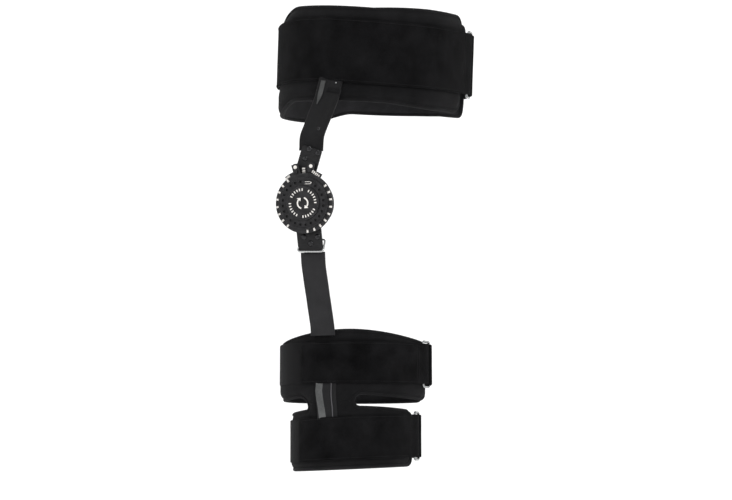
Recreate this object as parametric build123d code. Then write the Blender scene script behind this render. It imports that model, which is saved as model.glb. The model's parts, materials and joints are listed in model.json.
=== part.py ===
"""Hip range-of-motion brace for the right side: waist belt, numbered hinge, two bars and thigh cuff.

Millimetres. +X is the wearer's front, -Y is the outer (right) side, +Z is up.
The origin is the middle of the waist opening, at half the height of the belt strap.
"""
import os
from math import cos, radians, sin

from build123d import *

os.makedirs("parts", exist_ok=True)

# ---- layers of the belt and the cuff, measured outward from the skin side of the lining
LINING = 1.2
FOAM = 10.6
WEB_IN, WEB_OUT = 10.8, 12.8
LOOP_IN, LOOP_OUT = 13.0, 15.0
FOLD_BULGE = 3.5
BAR_OFFSET = 14.65
WIRE = 1.7
BINDING = 5.0

# ---- waist belt
BELT = (0.0, 0.0, 118.5, 141.0)
BELT_TILT = 2.0
BELT_TOP, BELT_LOW = 59.0, -67.0
BELT_BACK_DROP = 16.0
BELT_ENDS = (-330.0, -2.4)
BELT_CORNER = 20.0
BELT_STRAP = 42.0
BELT_BARS = (0.9, 8.9)

# ---- thigh cuff, in the thigh's own frame
THIGH = Pos(-7, -63, -419.5) * Rot(-6, -2, 0)
UPPER_BAND = (0.0, 0.0, 88.0, 88.0)
LOWER_BAND = (0.0, -9.6, 73.6, 73.6)
UPPER_EDGES = (-44.0, 42.0)
LOWER_EDGES = (-140.0, -59.0)
UPPER_ENDS = (-326.0, 4.0)
LOWER_ENDS = (-328.0, -4.0)
CUFF_CORNER = 14.0
UPPER_STRAP = (-27.3, 27.3)
LOWER_STRAP = (-128.5, -71.5)
UPPER_BARS = (-10.5, 2.0)
LOWER_BARS = (-4.0, 10.0)
WEB_ANGLES = (-114.5, -66.5)
WINDOW_RADIUS = 7.5

# ---- hinge, with the dial's centre as the hinge axis
DIAL_X, DIAL_Z, HINGE_Y = -33.0, -200.0, -192.0
HINGE = Plane(origin=(DIAL_X, HINGE_Y, DIAL_Z), x_dir=(1, 0, 0), z_dir=(0, -1, 0))
PIN_R = 5.0
RUNNING = 0.06
HEAD_R = 30.0
UPPER_PLATE = (-4.2, -1.7)
LOWER_PLATE = (-1.0, 1.5)
EXTENSION_PLATE = (2.2, 3.7)
FLEXION_PLATE = (3.8, 5.3)
SCALE_R, COVER_R, BOSS_R = 39.5, 34.0, 22.5
SCALE_FACE, COVER_FACE, BOSS_FACE = 8.5, 12.0, 14.6
HOLE_COUNT = 24
TICK_ANGLES = [52.5 + 15 * i for i in range(19) if i not in (9, 10)]
SHOULDER_R, SHOULDER_SPAN = 44.0, 23.0
COVER_DISC_R, PAD_DISC_R = 35.0, 34.0
STOP_R = (31.2, 36.0)
FLEXION_TAB, EXTENSION_TAB = -16.0, 9.0
BUTTON_R, DOT_R = 43.4, 49.0

# ---- bars: side profile (Y, Z) and front centre line (X, Z)
STAY_T, SLEEVE_T, POCKET_T = 2.5, 5.5, 4.4
CAVITY_T = 2.9
STAY_W, SLEEVE_W = 13.0, 17.0
UPPER_PROFILE = [(-145.7, 60), (-145.7, -40), (-184.85, -112), (-184.85, -175)]
UPPER_CENTRE = [(-6, 60), (-12.5, -39), (-17.5, -68), (-23, -90), (-28, -112), (-29, -135), (-29.5, -175)]
LOWER_PROFILE = [(-189.7, -225), (-189.7, -280), (-151.5, -374), (-158.0, -436), (-158.0, -481), (-165.7, -557)]
LOWER_CENTRE = [(-27, -225), (-24.4, -265), (-21, -369), (-19.5, -410), (-18, -440), (-15.4, -485), (-12, -557)]
BEND = 24.0


def on_oval(oval, angle, offset):
    """Point on an oval grown outward by offset."""
    cx, cy, a, b = oval
    t = radians(angle)
    return (cx + (a + offset) * cos(t), cy + (b + offset) * sin(t))


def oval_curve(oval, start, end, offset):
    """Smooth curve along an oval; offset is a number or a function of the angle."""
    count = max(4, int(abs(end - start) / 6))
    grow = offset if callable(offset) else lambda angle: offset
    angles = [start + (end - start) * i / count for i in range(count + 1)]
    return Spline(*[on_oval(oval, angle, grow(angle)) for angle in angles])


def band_section(oval, ends, layer):
    """Flat section of one layer round an oval, between two angles."""
    cx, cy, a, b = oval
    ring = Ellipse(a + layer[1], b + layer[1]) - Ellipse(a + layer[0], b + layer[0])
    count = 2 + int((ends[1] - ends[0]) / 30)
    rays = []
    for i in range(count + 1):
        x, y = on_oval(oval, ends[0] + (ends[1] - ends[0]) * i / count, FOAM / 2)
        rays.append((3 * x - 2 * cx, 3 * y - 2 * cy))
    wedge = make_face(Polyline((cx, cy), *rays, (cx, cy)))
    return Pos(cx, cy) * ring & wedge


def band(oval, ends, layer, heights):
    """Open ring of one layer's thickness round an oval."""
    return Pos(0, 0, heights[0]) * extrude(band_section(oval, ends, layer), amount=heights[1] - heights[0], dir=(0, 0, 1))


def folded_strap(oval, bar, outer_end, inner_end, heights):
    """Strap whose outer layer turns round a ring's bar and comes back as the inner layer."""
    way = 1 if bar > outer_end else -1

    def outer_layer(shift):
        def offset(angle):
            u = min(1.0, abs(angle - bar) / 10.0)
            return LOOP_IN + shift + FOLD_BULGE * (1 - u * u * (3 - 2 * u))
        return offset

    thickness = LOOP_OUT - LOOP_IN
    top = oval_curve(oval, outer_end, bar, outer_layer(thickness))
    under = oval_curve(oval, bar, outer_end, outer_layer(0))
    low_top = oval_curve(oval, inner_end, bar, WEB_OUT)
    low_under = oval_curve(oval, bar, inner_end, WEB_IN)
    centre = on_oval(oval, bar, BAR_OFFSET)
    t = radians(bar)
    ahead = (-sin(t) * way, cos(t) * way)

    def turn(start, end, radius):
        middle = (centre[0] + ahead[0] * radius, centre[1] + ahead[1] * radius)
        return ThreePointArc(start, middle, end)

    big = turn(top @ 1, low_under @ 0, LOOP_OUT + FOLD_BULGE - BAR_OFFSET)
    small = turn(low_top @ 1, under @ 0, LOOP_IN + FOLD_BULGE - BAR_OFFSET)
    outline = Curve() + [top, big, low_under, Line(low_under @ 1, low_top @ 0),
                         low_top, small, under, Line(under @ 1, top @ 0)]
    return Pos(0, 0, heights[0]) * extrude(make_face(outline), amount=heights[1] - heights[0], dir=(0, 0, 1))


def wire_loop(corners, radius, wire):
    """Closed round-cornered loop of wire through four corners."""
    path = FilletPolyline(*corners, radius=radius, close=True)
    start = path.edges().sort_by(SortBy.LENGTH)[-1]
    section = Plane(origin=start @ 0.5, z_dir=start % 0.5) * Circle(wire)
    return sweep(section, path=path)


def strap_ring(oval, bars, heights):
    """Rectangular wire ring whose two upright bars hold the straps."""
    gap = 1.3 + WIRE
    near, far = (on_oval(oval, bar, BAR_OFFSET) for bar in bars)
    low, high = heights[0] - gap, heights[1] + gap
    return wire_loop([(*near, low), (*far, low), (*far, high), (*near, high)], 3.5, WIRE)


def corner_cut(oval, angle, z, radius, inward, upward):
    """What has to go to round one corner of an open band."""
    waste = Rectangle(radius, radius, align=(Align.MIN, Align.MAX)) - Pos(radius, -radius) * Circle(radius)
    waste = extrude(waste, amount=40, both=True)
    if upward < 0:
        waste = mirror(waste, about=Plane.XZ)
    x, y = on_oval(oval, angle, FOAM / 2)
    t = radians(angle)
    along = (-sin(t) * inward, cos(t) * inward, 0)
    frame = Plane(origin=(x, y, z), x_dir=along, z_dir=Vector(*along).cross(Vector(0, 0, 1)))
    return frame * waste


def rounded_band(oval, ends, layer, heights, corner, inset):
    """Band set back from its outline by inset, with its four corners rounded."""
    step = inset / oval[3] * 57.3
    start, end = ends[0] + step, ends[1] - step
    low, high = heights[0] + inset, heights[1] - inset
    body = band(oval, (start, end), layer, (low, high))
    radius = corner - inset
    for angle, inward in ((start, 1), (end, -1)):
        for z, upward in ((low, -1), (high, 1)):
            body -= corner_cut(oval, angle, z, radius, inward, upward)
    return body


def back_drop(z, away):
    """Slab beyond the belt's edge at height z, which dips at the wearer's back."""
    front, back = 200, -200
    dip = Spline((-62, z), (-118, z - BELT_BACK_DROP), tangents=[(-1, 0), (-1, 0)])
    outline = Curve() + [Line((front, z), (-62, z)), dip, Line((-118, z - BELT_BACK_DROP), (back, z - BELT_BACK_DROP)),
                         Line((back, z - BELT_BACK_DROP), (back, z + away)), Line((back, z + away), (front, z + away)),
                         Line((front, z + away), (front, z))]
    return Plane.XZ * extrude(make_face(outline), amount=220, both=True)


def belt_shape(layer, inset):
    """Waist pad outline, dipped at the back, as one layer."""
    body = rounded_band(BELT, BELT_ENDS, layer, (BELT_LOW, BELT_TOP), BELT_CORNER, inset)
    low = band(BELT, (-250, -110), layer, (BELT_LOW - BELT_BACK_DROP - 8, BELT_LOW + 12))
    body += low
    body -= back_drop(BELT_TOP - inset, 60)
    body -= back_drop(BELT_LOW + inset, -60)
    return Rot(0, BELT_TILT, 0) * body


def cuff_shape(layer, inset):
    """Two thigh bands joined by a web on the outer side, as one layer."""
    body = rounded_band(UPPER_BAND, UPPER_ENDS, layer, UPPER_EDGES, CUFF_CORNER, inset)
    body += rounded_band(LOWER_BAND, LOWER_ENDS, layer, LOWER_EDGES, CUFF_CORNER, inset)
    middle = tuple((u + v) / 2 for u, v in zip(UPPER_BAND, LOWER_BAND))
    web = loft([Pos(0, 0, LOWER_EDGES[1] - BINDING) * band_section(LOWER_BAND, WEB_ANGLES, layer),
                Pos(0, 0, UPPER_EDGES[0] + BINDING) * band_section(UPPER_BAND, WEB_ANGLES, layer)], ruled=True)
    gap_z = (UPPER_EDGES[0] + LOWER_EDGES[1]) / 2
    for angle in WEB_ANGLES:
        x, y = on_oval(middle, angle, FOAM / 2)
        t = radians(angle)
        frame = Plane(origin=(x, y, gap_z), z_dir=(cos(t), sin(t), 0))
        web -= frame * Cylinder(WINDOW_RADIUS + inset, 60)
    return THIGH * (body + web)


def strip(profile, centre, thickness, half, high, low, lift=0.0, shift=0.0):
    """Flat bar that follows a side profile and a front centre line, from height high to low."""
    path = FilletPolyline(*profile, radius=BEND)
    side = Plane.YZ * extrude(trace(path, line_width=thickness), amount=120, both=True)
    left = Spline(*[(x + shift - half, z) for x, z in centre])
    right = Spline(*[(x + shift + half, z) for x, z in reversed(centre)])
    front = make_face(Curve() + [left, Line(left @ 1, right @ 0), right, Line(right @ 1, left @ 0)])
    front = Plane.XZ * extrude(front, amount=260, both=True)
    window = Pos(0, -160, (high + low) / 2) * Box(200, 160, high - low)
    return (Pos(0, -lift, 0) * side) & front & window


def upper_strip(thickness, half, high, low, lift=0.0, shift=0.0):
    return strip(UPPER_PROFILE, UPPER_CENTRE, thickness, half, high, low, lift, shift)


def lower_strip(thickness, half, high, low, lift=0.0, shift=0.0):
    return strip(LOWER_PROFILE, LOWER_CENTRE, thickness, half, high, low, lift, shift)


def disc(radius, low, high, bore=0.0):
    """Disc on the hinge axis, from low to high outward, in the hinge's own frame."""
    body = Pos(0, 0, low) * Cylinder(radius, high - low, align=(Align.CENTER, Align.CENTER, Align.MIN))
    if bore:
        body -= Cylinder(bore, 100)
    return body


def plate(sketch, heights):
    """Sketch in the hinge's own frame, made solid between two heights."""
    return Pos(0, 0, heights[0]) * extrude(sketch, amount=heights[1] - heights[0])


def polar(radius, angle):
    """Point at an angle clockwise from straight up, seen from outside."""
    t = radians(angle)
    return (radius * sin(t), radius * cos(t))


def sector(r_in, r_out, start, end):
    """Part of a ring between two angles clockwise from straight up."""
    reach = r_out * 1.6
    wedge = make_face(Polyline((0, 0), polar(reach, start), polar(reach, (start + end) / 2), polar(reach, end), (0, 0)))
    return (Circle(r_out) - Circle(r_in)) & wedge


def rivets(places, top, depth, head_r=3.9, shank_r=1.9, dome=1.6):
    """Domed rivets in the hinge's own frame, with the heads' undersides at height top."""
    group = []
    for x, y in places:
        sphere_r = (head_r ** 2 + dome ** 2) / (2 * dome)
        head = Pos(0, 0, dome - sphere_r) * Sphere(sphere_r) & Pos(0, 0, 10) * Box(20, 20, 20)
        shank = Cylinder(shank_r, depth, align=(Align.CENTER, Align.CENTER, Align.MAX))
        group.append(Pos(x, y, top) * (head + shank))
    return group


def cut_all(body, tools):
    for tool in tools:
        body -= tool
    return body


def stop_lever(heights, tab_angle, lug_start):
    """Stop plate that turns on the pivot: finger tab, shoulder with its label, and a lug beside the arm's nose."""
    x, y = polar((HEAD_R + DOT_R) / 2, tab_angle)
    outline = Circle(HEAD_R - 1) + Pos(*polar(DOT_R, tab_angle)) * Circle(4.6)
    outline += Pos(x, y) * Rot(0, 0, -tab_angle) * Rectangle(9.2, DOT_R - HEAD_R + 8)
    outline += sector(HEAD_R - 5, STOP_R[1], lug_start, lug_start + 8)
    away = SHOULDER_SPAN if tab_angle > 0 else -SHOULDER_SPAN
    outline += sector(HEAD_R - 5, SHOULDER_R, min(tab_angle, tab_angle + away), max(tab_angle, tab_angle + away))
    outline -= Circle(PIN_R + RUNNING)
    outline -= Pos(*polar(BUTTON_R, tab_angle)) * Circle(1.5 + RUNNING)
    lug = plate(sector(STOP_R[0], STOP_R[1], lug_start, lug_start + 8), (LOWER_PLATE[0] + 0.2, heights[1]))
    return plate(outline, heights) + lug


def lock_button(top, tab_angle):
    """Push button with a stem through the lever and a keeper behind it."""
    head = Pos(0, 0, top + 1.8) * Cylinder(2.5, 1.5, align=(Align.CENTER, Align.CENTER, Align.MIN))
    stem = Pos(0, 0, top + 1.8) * Cylinder(1.5, 3.5, align=(Align.CENTER, Align.CENTER, Align.MAX))
    keeper = Pos(0, 0, top - 1.7) * Cylinder(2.2, 0.8, align=(Align.CENTER, Align.CENTER, Align.MAX))
    return Pos(*polar(BUTTON_R, tab_angle)) * (head + stem + keeper)


def button_spring(top, tab_angle):
    ring = Cylinder(2.3, 0.25) - Cylinder(1.7, 1)
    return Pos(*polar(BUTTON_R, tab_angle)) * Pos(0, 0, top + 0.125) * ring


def lever_dot(top, tab_angle):
    return Pos(*polar(DOT_R, tab_angle)) * Pos(0, 0, top + 0.2) * Cylinder(2.4, 0.4)


def belt_parts():
    """Soft parts of the waist belt, its ring and the pocket that holds the bar."""
    tilt = Rot(0, BELT_TILT, 0)
    channel = upper_strip(POCKET_T + 0.4, STAY_W + 2, 40, -95)
    keeper = upper_strip(SLEEVE_T + 3, SLEEVE_W + 1.9, -48, -55)
    socket = upper_strip(SLEEVE_T + 0.6, SLEEVE_W + 0.5, -44, -90) + keeper
    heights = (-BELT_STRAP, BELT_STRAP)
    return {
        "belt_pad": belt_shape((LINING, FOAM), BINDING) - channel - socket,
        "belt_lining": belt_shape((0, LINING), BINDING),
        "belt_edge_binding": belt_shape((0, FOAM), 0) - belt_shape((-5, 20), BINDING) - channel - socket,
        "belt_webbing": tilt * band(BELT, (-172, -6), (WEB_IN, WEB_OUT), heights),
        "belt_loop_strap": tilt * folded_strap(BELT, BELT_BARS[0], -172, -4, heights),
        "belt_closure_strap": tilt * folded_strap(BELT, BELT_BARS[1], 84, 129, heights),
        "belt_ring": tilt * strap_ring(BELT, BELT_BARS, heights),
        "belt_bar_pocket": upper_strip(POCKET_T, STAY_W + 1.2, 38, -44) - upper_strip(CAVITY_T, STAY_W + 0.2, 35, -60),
        "belt_keeper_loop": keeper - upper_strip(SLEEVE_T + 0.4, SLEEVE_W + 0.4, -40, -60),
    }


def upper_bar_parts(plate_rivets):
    """Bendable stay and webbing sleeve between the belt and the hinge."""
    bar_rivet = [HINGE * r for r in rivets([(13.5, 97.5)], -192 + 183.4, 9, 2.6, 1.4, 1.2)]
    stay = upper_strip(STAY_T, STAY_W, 34, -150)
    sleeve = upper_strip(SLEEVE_T, SLEEVE_W, -46, -137) - upper_strip(CAVITY_T, STAY_W + 0.2, -40, -170)
    grip = upper_strip(0.9, 3, -43.6, -70, lift=5.9, shift=-10)
    return {
        "upper_stay": cut_all(stay, plate_rivets + bar_rivet),
        "upper_sleeve": cut_all(sleeve, plate_rivets + bar_rivet),
        "upper_bar_rivet": bar_rivet,
        "belt_grip_strip": grip,
    }


def hinge_fixed_parts():
    """Hinge parts that stay with the upper bar, in the hinge's own frame."""
    arm = Pos(-1.0, 44.2) * Rot(0, 0, -17) * RectangleRounded(28, 59, 2.5)
    ticks = [plate(sector(34.8, 38.9, angle - 2.4, angle + 2.4), (SCALE_FACE, SCALE_FACE + 0.3))
             for angle in TICK_ANGLES]
    cover = disc(COVER_R, SCALE_FACE, COVER_FACE) + (disc(COVER_R, COVER_FACE, COVER_FACE + 0.8, COVER_R - 2))
    cover -= disc(PIN_R, 0, COVER_FACE - 0.5)
    for i in range(HOLE_COUNT):
        hole = Pos(*polar(28.2, 15 * i + 7.5)) * Pos(0, 0, COVER_FACE - 2) * Cylinder(1.5, 8, align=(Align.CENTER,) * 2 + (Align.MIN,))
        cover -= hole
    boss = disc(BOSS_R, COVER_FACE, BOSS_FACE)
    boss = chamfer(boss.edges().group_by(Axis.Z)[-1], 0.6)
    boss -= Pos(0, 0, BOSS_FACE - 0.4) * extrude(Circle(13.4) - Circle(12.6), amount=2)
    pin = disc(PIN_R, -7.0, COVER_FACE - 0.5) + disc(9, -8.5, -7.0)
    return {
        "upper_arm_plate": plate(Circle(HEAD_R) + arm - Circle(PIN_R), UPPER_PLATE),
        "hinge_back_cover": disc(COVER_DISC_R, -7.0, -4.3, PIN_R),
        "hinge_pad": disc(PAD_DISC_R, -13.0, -7.1) - disc(9.1, -10, 0),
        "pivot_pin": pin,
        "arm_washer": disc(12, -1.65, -1.05, PIN_R + RUNNING),
        "stop_washer": disc(12, 1.55, 2.15, PIN_R + RUNNING),
        "scale_ring": disc(SCALE_R, FLEXION_PLATE[1] + 0.2, SCALE_FACE, PIN_R),
        "scale_ticks": ticks,
        "dial_cover": cover,
        "dial_boss": boss,
        "pointer_tab": Pos(5.5, 26.4, COVER_FACE) * extrude(RectangleRounded(15, 5.4, 2), amount=1.1),
    }


def lower_arm_plate():
    """Arm plate of the thigh side, with the nose that meets the stops."""
    arm = Pos(3.4, -31.5) * Rot(0, 0, 6) * RectangleRounded(34, 63, 2.5)
    nose = sector(HEAD_R - 3, STOP_R[1], -6.9, 5.1)
    return plate(Circle(HEAD_R) + arm + nose - Circle(PIN_R + RUNNING), LOWER_PLATE)


def tilted_loop(x_low, x_high, front, back, wire):
    """Wire loop round a flat bar: lower bar in front, upper bar behind. Each end is (Y, Z)."""
    corners = [(x_low, *front), (x_high, *front), (x_high, *back), (x_low, *back)]
    return wire_loop(corners, 3.5, wire)


def lower_bar_parts(plate_rivets):
    """Bendable stay, webbing sleeve and wire keepers between the hinge and the cuff."""
    stay = lower_strip(STAY_T, STAY_W, -241, -545)
    sleeve = lower_strip(SLEEVE_T, SLEEVE_W, -266, -365) - lower_strip(CAVITY_T, STAY_W + 0.2, -255, -385)
    return {
        "lower_stay": cut_all(stay, plate_rivets),
        "lower_sleeve": sleeve,
        "lower_keeper_ring": tilted_loop(-45.8, -7.4, (-196.4, -262.5), (-183.0, -244.5), 1.4),
        "cuff_wire_loop": tilted_loop(-40.4, 0.2, (-164.8, -376.5), (-152.6, -359.0), 1.2),
    }


def cuff_parts():
    """Soft parts of the thigh cuff, its rings and the pocket that holds the bar."""
    channel = lower_strip(POCKET_T + 6.4, STAY_W + 2.0, -340, -552, lift=3.0)
    pocket = lower_strip(POCKET_T, STAY_W + 1.2, -378, -549)
    parts = {
        "cuff_pad": cuff_shape((LINING, FOAM), BINDING) - channel,
        "cuff_lining": cuff_shape((0, LINING), BINDING),
        "cuff_edge_binding": cuff_shape((0, FOAM), 0) - cuff_shape((-5, 20), BINDING) - channel,
        "cuff_bar_pocket": pocket - lower_strip(CAVITY_T, STAY_W + 0.2, -360, -546),
        "cuff_grip_strip": lower_strip(1.0, 5, -438, -478, lift=2.8, shift=-5.5),
        "cuff_pocket_piping": lower_strip(0.9, 0.8, -438, -478, lift=2.7, shift=12),
    }
    bands = (
        ("upper", UPPER_BAND, UPPER_STRAP, UPPER_BARS, -119),
        ("lower", LOWER_BAND, LOWER_STRAP, LOWER_BARS, -128),
    )
    for name, oval, heights, bars, loop_end in bands:
        near, far = bars
        parts[f"cuff_{name}_webbing"] = THIGH * band(oval, (-190, near - 8), (WEB_IN, WEB_OUT), heights)
        parts[f"cuff_{name}_loop_strap"] = THIGH * folded_strap(oval, near, loop_end, near - 6, heights)
        parts[f"cuff_{name}_closure_strap"] = THIGH * folded_strap(oval, far, far + 95, far + 145, heights)
        parts[f"cuff_{name}_ring"] = THIGH * strap_ring(oval, bars, heights)
    return parts


def build():
    """Every node of the brace by name."""
    upper_rivets = [HINGE * r for r in rivets([(1, 71), (13.4, 65.5), (-4.6, 59)], UPPER_PLATE[1], 6.7)]
    lower_rivets = [HINGE * r for r in rivets([(16, -44), (6.4, -52.5), (-3, -44)], LOWER_PLATE[1], 5.0)]
    parts = belt_parts()
    parts.update(upper_bar_parts(upper_rivets))
    parts.update(lower_bar_parts(lower_rivets))
    parts.update(cuff_parts())
    fixed = hinge_fixed_parts()
    fixed["lower_arm_plate"] = lower_arm_plate()
    levers = (
        ("flexion", FLEXION_PLATE, FLEXION_TAB, -105.2),
        ("extension", EXTENSION_PLATE, EXTENSION_TAB, 5.5),
    )
    for name, heights, tab, lug in levers:
        fixed[f"{name}_stop_lever"] = stop_lever(heights, tab, lug)
        fixed[f"{name}_stop_dot"] = lever_dot(heights[1], tab)
        fixed[f"{name}_lock_button"] = lock_button(heights[1], tab)
        fixed[f"{name}_button_spring"] = button_spring(heights[1], tab)
    for name, shape in fixed.items():
        parts[name] = [HINGE * s for s in shape] if isinstance(shape, list) else HINGE * shape
    parts["upper_arm_plate"] = cut_all(parts["upper_arm_plate"], upper_rivets)
    parts["lower_arm_plate"] = cut_all(parts["lower_arm_plate"], lower_rivets)
    parts["upper_arm_rivets"] = upper_rivets
    parts["lower_arm_rivets"] = lower_rivets
    return parts


for node, shape in build().items():
    solids = [s for piece in (shape if isinstance(shape, list) else [shape]) for s in piece.solids()]
    body = solids[0] if len(solids) == 1 else Compound(children=solids)
    export_step(body, f"parts/{node}.step")
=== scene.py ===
"""The looks of a hip range-of-motion brace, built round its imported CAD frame.

Lengths are millimetres unless a name or comment says otherwise; MM turns them into metres.
+X is the wearer's front, -Y the outer side, +Z up. The hinge's own frame has x = +X, y = +Z and z = -Y.
A shape is (verts, faces) or (verts, faces, cloth): cloth is each vertex's place along and across its cloth.
"""
import json
from math import cos, degrees, exp, hypot, pi, radians, sin, sqrt

import bmesh
import bpy
import numpy as np
from mathutils import Matrix, Vector, noise


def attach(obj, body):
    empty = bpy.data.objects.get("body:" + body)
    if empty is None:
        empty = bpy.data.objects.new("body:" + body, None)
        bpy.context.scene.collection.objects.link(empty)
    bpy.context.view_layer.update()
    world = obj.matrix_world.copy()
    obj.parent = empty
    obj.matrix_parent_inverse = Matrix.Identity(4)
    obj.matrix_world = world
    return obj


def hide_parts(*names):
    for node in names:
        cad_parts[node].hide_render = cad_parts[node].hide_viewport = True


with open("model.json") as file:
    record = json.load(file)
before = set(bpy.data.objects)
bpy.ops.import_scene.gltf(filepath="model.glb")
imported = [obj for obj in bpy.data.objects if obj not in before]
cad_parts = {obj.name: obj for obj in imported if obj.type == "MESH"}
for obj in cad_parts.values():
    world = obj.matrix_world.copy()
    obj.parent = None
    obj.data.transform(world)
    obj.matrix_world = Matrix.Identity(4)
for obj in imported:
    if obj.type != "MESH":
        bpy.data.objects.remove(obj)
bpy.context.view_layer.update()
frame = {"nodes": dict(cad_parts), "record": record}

MM = 0.001

# ---- layers, measured outward from the skin side
LINING = 1.2
FOAM = 10.6
WEB_IN, WEB_OUT = 10.8, 12.8
LOOP_IN, LOOP_OUT = 13.0, 15.0
FOLD_BULGE = 3.5
BAR_OFFSET = 14.65
STRAP_T = LOOP_OUT - LOOP_IN
RING_WIRE, RING_BEND = 1.7, 4.0
FOLD_R = LOOP_OUT + FOLD_BULGE - BAR_OFFSET - STRAP_T / 2

# ---- pad edges
EDGE_THIN, EDGE_WIDTH, PUFF_WIDTH = 3.2, 5.0, 11.0
PAD_INSET, LINING_INSET = EDGE_WIDTH * 0.5, 0.6
SWELL = 1.3
ROW_DEPTHS = (0, 1.2, 2.6, 4.2, 6.2, 8.6, 11.5, 15)

# ---- waist belt
BELT = (0.0, 0.0, 118.5, 141.0)
BELT_PLACE = Matrix.Rotation(radians(2), 4, "Y")
BELT_EDGES = (-65.0, 62.0)
BELT_ENDS = (-330.0, -2.4)
BELT_CORNER = 20.0
BELT_STRAP = (-42.0, 42.0)
BELT_BARS = (0.9, 8.9)
BACK_DROP = 18.0
BACK_DIP = (-70.0, -122.0)
# (x, z) places of the belt's arched edges and of its strap, which rides up a little over the hip
TOP_LINE = [(-120, 1.5), (-95, 4), (-65, 3.5), (-15, 1.5), (40, -1.0), (75, 1.5), (100, 3.0), (125, 3.0)]
LOW_LINE = [(-100, 1.5), (20, 1.5), (60, 0.5), (85, -2.5), (105, -5), (125, -5)]
STRAP_LINE = [(-125, 1.5), (-100, 3.5), (-65, 5.5), (-25, 5), (30, 2), (70, 0.5), (125, 0)]
LEVEL = [(0, 0)]

# ---- thigh cuff
THIGH = (Matrix.Translation((-7, -63, -419.5)) @ Matrix.Rotation(radians(-6), 4, "X")
         @ Matrix.Rotation(radians(-2), 4, "Y"))
LOWER_LEAN = 0.045
LOWER_PLACE = THIGH @ Matrix(((1, 0, 0, 0), (0, 1, 0, 0), (LOWER_LEAN, 0, 1, 0), (0, 0, 0, 1)))
UPPER_BAND = (-2.0, 0.0, 90.0, 88.0)
LOWER_BAND = (0.0, -9.6, 73.6, 73.6)
UPPER_EDGES = (-44.0, 44.5)
LOWER_EDGES = (-140.0, -59.0)
UPPER_ENDS = (-326.0, 4.0)
LOWER_ENDS = (-328.0, -4.0)
CUFF_CORNER = 14.0
UPPER_STRAP = (-27.3, 27.3)
LOWER_STRAP = (-128.5, -71.5)
UPPER_BARS = (-10.5, 2.0)
LOWER_BARS = (-4.0, 10.0)
ARCH_MIDDLE, ARCH_REACH = -77.0, 88.0
TOP_ARCH, SLOT_ARCH, SLOT_RISE = 14.5, 6.5, 2.0
WEB_ANGLES = (-122.0, -66.5)
WEB_R = (UPPER_BAND[2] + LOWER_BAND[2] + FOAM) / 2
SLOT_R = 7.5
SLOT_Z = (UPPER_EDGES[0] + LOWER_EDGES[1]) / 2

# ---- hinge
DIAL = Vector((-33.0, -192.0, -200.0))
HINGE = Matrix(((1, 0, 0, DIAL.x), (0, 0, -1, DIAL.y), (0, 1, 0, DIAL.z), (0, 0, 0, 1)))
HOLE_COUNT, HOLE_CIRCLE, HOLE_R = 24, 28.2, 1.85
PIN_R, SCALE_R, COVER_R, BOSS_R = 5.0, 39.5, 34.0, 22.5
SCALE_BACK, SCALE_FACE, COVER_FACE, BOSS_FACE = 5.5, 8.5, 12.0, 14.6
TICK_ANGLES = [52.5 + 15 * i for i in range(19) if i not in (9, 10)]
FLEXION_FACE, EXTENSION_FACE, ARM_FACE, LOWER_ARM_FACE = 5.3, 3.7, -1.7, 1.5
FLEXION_TAB, EXTENSION_TAB, DOT_CIRCLE = -16.0, 9.0, 49.0
UPPER_RIVETS = [(3.2, 71.0), (15.2, 65.5), (-2.2, 59.0)]
LOWER_RIVETS = [(16.0, -44.0), (6.4, -52.5), (-3.0, -44.0)]
AXIS_R = 0.01

# ---- bars: side profile (Y, Z) of what shows outside the pads, and front centre line (X, Z)
UPPER_PROFILE = [(-149.5, 60), (-149.5, -28), (-155.0, -42), (-159.5, -60), (-184.85, -112), (-184.85, -175)]
UPPER_CENTRE = [(-6, 60), (-12.5, -39), (-17.5, -68), (-23, -90), (-28, -112), (-29, -135), (-29.5, -175)]
LOWER_PROFILE = [(-189.7, -225), (-189.7, -280), (-161.0, -364), (-161.5, -400)]
LOWER_CENTRE = [(-27, -225), (-24.4, -265), (-21, -369), (-19.5, -410)]

WAIST, THIGH_BODY = "waist_belt", "thigh_cuff"

# ---- camera, lights and stage, in metres
VIEW_TURN = radians(18)
AIM = (0, 0, -0.25)
LIGHTS = (
    ("key", (1.9, -2.2, 1.5), 0.8, 34),
    ("fill", (-1.8, -2.2, 0.3), 1.8, 6),
    ("rim_left", (-2.2, 0.3, 0.5), 1.0, 3),
    ("top", (0.2, 0.1, 2.3), 1.4, 16),
)
WORLD_LIGHT = 0.75
FLOOR_Z, FLOOR_HALF, FLOOR_FRONT, FLOOR_BACK, BEND_R, WALL_TOP = -0.92, 40.0, -60.0, 4.5, 1.5, 5.0


# ------------------------------------------------------------------ camera, light and stage

def look_at(obj, target):
    obj.rotation_euler = (Vector(target) - obj.location).to_track_quat("-Z", "Y").to_euler()


def make_camera():
    """Level camera, turned towards the wearer's front from the outer side."""
    distance, height, side = 2.600, -0.261, -0.0126
    data = bpy.data.cameras.new("camera")
    data.sensor_width = 36.0
    data.lens = 91.3
    data.clip_start = 0.05
    camera = bpy.data.objects.new("camera", data)
    bpy.context.scene.collection.objects.link(camera)
    target = Vector((side * cos(VIEW_TURN), side * sin(VIEW_TURN), height))
    camera.location = target + distance * Vector((sin(VIEW_TURN), -cos(VIEW_TURN), 0))
    look_at(camera, target)
    bpy.context.scene.camera = camera


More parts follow.
